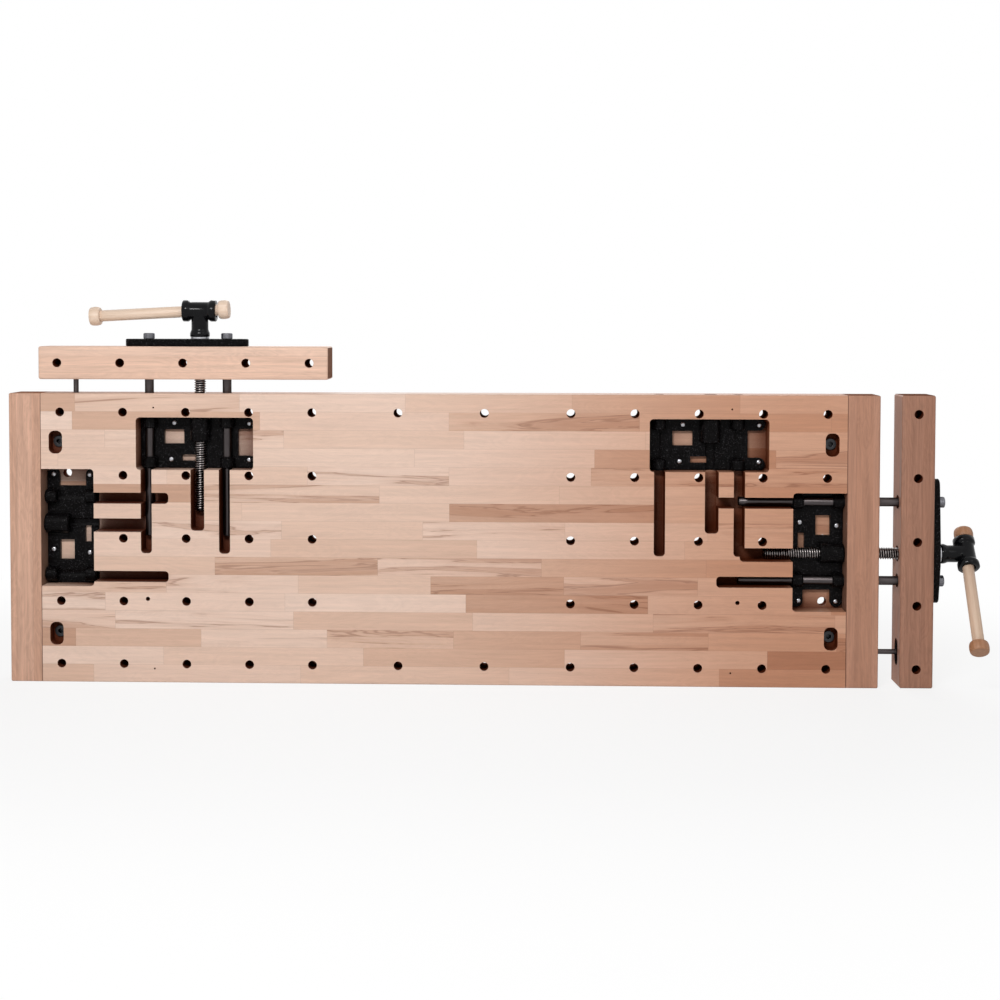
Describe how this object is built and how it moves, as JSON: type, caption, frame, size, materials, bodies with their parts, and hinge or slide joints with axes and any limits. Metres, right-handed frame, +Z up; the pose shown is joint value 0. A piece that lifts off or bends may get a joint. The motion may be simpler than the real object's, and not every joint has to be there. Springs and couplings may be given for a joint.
{
  "type": "woodworking bench top with vises",
  "caption": "Laminated beech bench top with dog holes, a front vise and an end vise on cast nut brackets, and spare brackets for moving either vise.",
  "frame": {"origin": "middle of the rear long edge, on the floor it stands on", "axes": "+X along the bench to the end vise, +Y out of the working face, +Z up from the rear edge to the front vise"},
  "size_m": [2.064, 0.2235, 0.819],
  "materials": {
    "slab_beech": "oiled, stave-laminated",
    "cap_beech": "oiled, grain across the bench",
    "jaw_beech": "oiled",
    "turned_beech": "smooth turned",
    "black_casting": "rough cast, black enamel",
    "black_enamel": "gloss black",
    "dark_steel": "dark, oiled",
    "zinc_steel": "bright zinc plate"
  },
  "bodies": {
    "bench": {"top_slab": "slab_beech", "left_end_cap": "cap_beech", "right_end_cap": "cap_beech", "leg_insert_1": "zinc_steel", "leg_insert_2": "zinc_steel", "leg_insert_3": "zinc_steel", "leg_insert_4": "zinc_steel", "bracket_front_left": "black_casting", "bracket_screw_front_left_1": "zinc_steel", "bracket_screw_front_left_2": "zinc_steel", "bracket_screw_front_left_3": "zinc_steel", "bracket_screw_front_left_4": "zinc_steel", "bracket_front_right": "black_casting", "bracket_screw_front_right_1": "zinc_steel", "bracket_screw_front_right_2": "zinc_steel", "bracket_screw_front_right_3": "zinc_steel", "bracket_screw_front_right_4": "zinc_steel", "bracket_left_end": "black_casting", "bracket_screw_left_end_1": "zinc_steel", "bracket_screw_left_end_2": "zinc_steel", "bracket_screw_left_end_3": "zinc_steel", "bracket_screw_left_end_4": "zinc_steel", "bracket_right_end": "black_casting", "bracket_screw_right_end_1": "zinc_steel", "bracket_screw_right_end_2": "zinc_steel", "bracket_screw_right_end_3": "zinc_steel", "bracket_screw_right_end_4": "zinc_steel"},
    "front_jaw_carriage": {"front_jaw": "jaw_beech", "front_guide_pin": "dark_steel", "front_face_plate": "black_casting", "front_guide_rod_1": "dark_steel", "front_guide_rod_2": "dark_steel", "front_rod_bolt_1": "zinc_steel", "front_rod_bolt_2": "zinc_steel", "front_plate_screw_1": "dark_steel", "front_plate_screw_2": "dark_steel"},
    "front_spindle": {"front_lead_screw": "dark_steel", "front_retaining_collar": "dark_steel", "front_thrust_washer": "zinc_steel", "front_handle_hub": "black_enamel"},
    "front_handle": {"front_handle_bar": "turned_beech", "front_handle_knob_far": "turned_beech", "front_handle_knob_near": "turned_beech"},
    "end_jaw_carriage": {"end_jaw": "jaw_beech", "end_guide_pin": "dark_steel", "end_face_plate": "black_casting", "end_guide_rod_1": "dark_steel", "end_guide_rod_2": "dark_steel", "end_rod_bolt_1": "zinc_steel", "end_rod_bolt_2": "zinc_steel", "end_plate_screw_1": "dark_steel", "end_plate_screw_2": "dark_steel"},
    "end_spindle": {"end_lead_screw": "dark_steel", "end_retaining_collar": "dark_steel", "end_thrust_washer": "zinc_steel", "end_handle_hub": "black_enamel"},
    "end_handle": {"end_handle_bar": "turned_beech", "end_handle_knob_far": "turned_beech", "end_handle_knob_near": "turned_beech"}
  },
  "joints": [
    {"name": "front_jaw_slide", "type": "slide", "parent": "bench", "child": "front_jaw_carriage", "axis": [0, 0, 1], "range_m": [-0.0296, 0.1201]},
    {"name": "front_screw_turn", "type": "hinge", "parent": "front_jaw_carriage", "child": "front_spindle", "pos_m": [-0.5205, -0.004, 0.7], "axis": [0, 0, 1], "range_deg": [-2124, 8640]},
    {"name": "front_handle_slide", "type": "slide", "parent": "front_spindle", "child": "front_handle", "axis": [0.9986, 0, 0.0523], "range_m": [-0.0035, 0.1765]},
    {"name": "end_jaw_slide", "type": "slide", "parent": "bench", "child": "end_jaw_carriage", "axis": [1, 0, 0], "range_m": [-0.0446, 0.1051]},
    {"name": "end_screw_turn", "type": "hinge", "parent": "end_jaw_carriage", "child": "end_spindle", "pos_m": [1, -0.004, 0.282], "axis": [1, 0, 0], "range_deg": [-3204, 7560]},
    {"name": "end_handle_slide", "type": "slide", "parent": "end_spindle", "child": "end_handle", "axis": [0.0523, 0.6682, 0.7421], "range_m": [0, 0.18]}
  ],
  "couplings": [
    {"joint": "front_jaw_slide", "follows": "front_screw_turn", "m_per_rad": 0.00079577},
    {"joint": "end_jaw_slide", "follows": "end_screw_turn", "m_per_rad": 0.00079577}
  ]
}
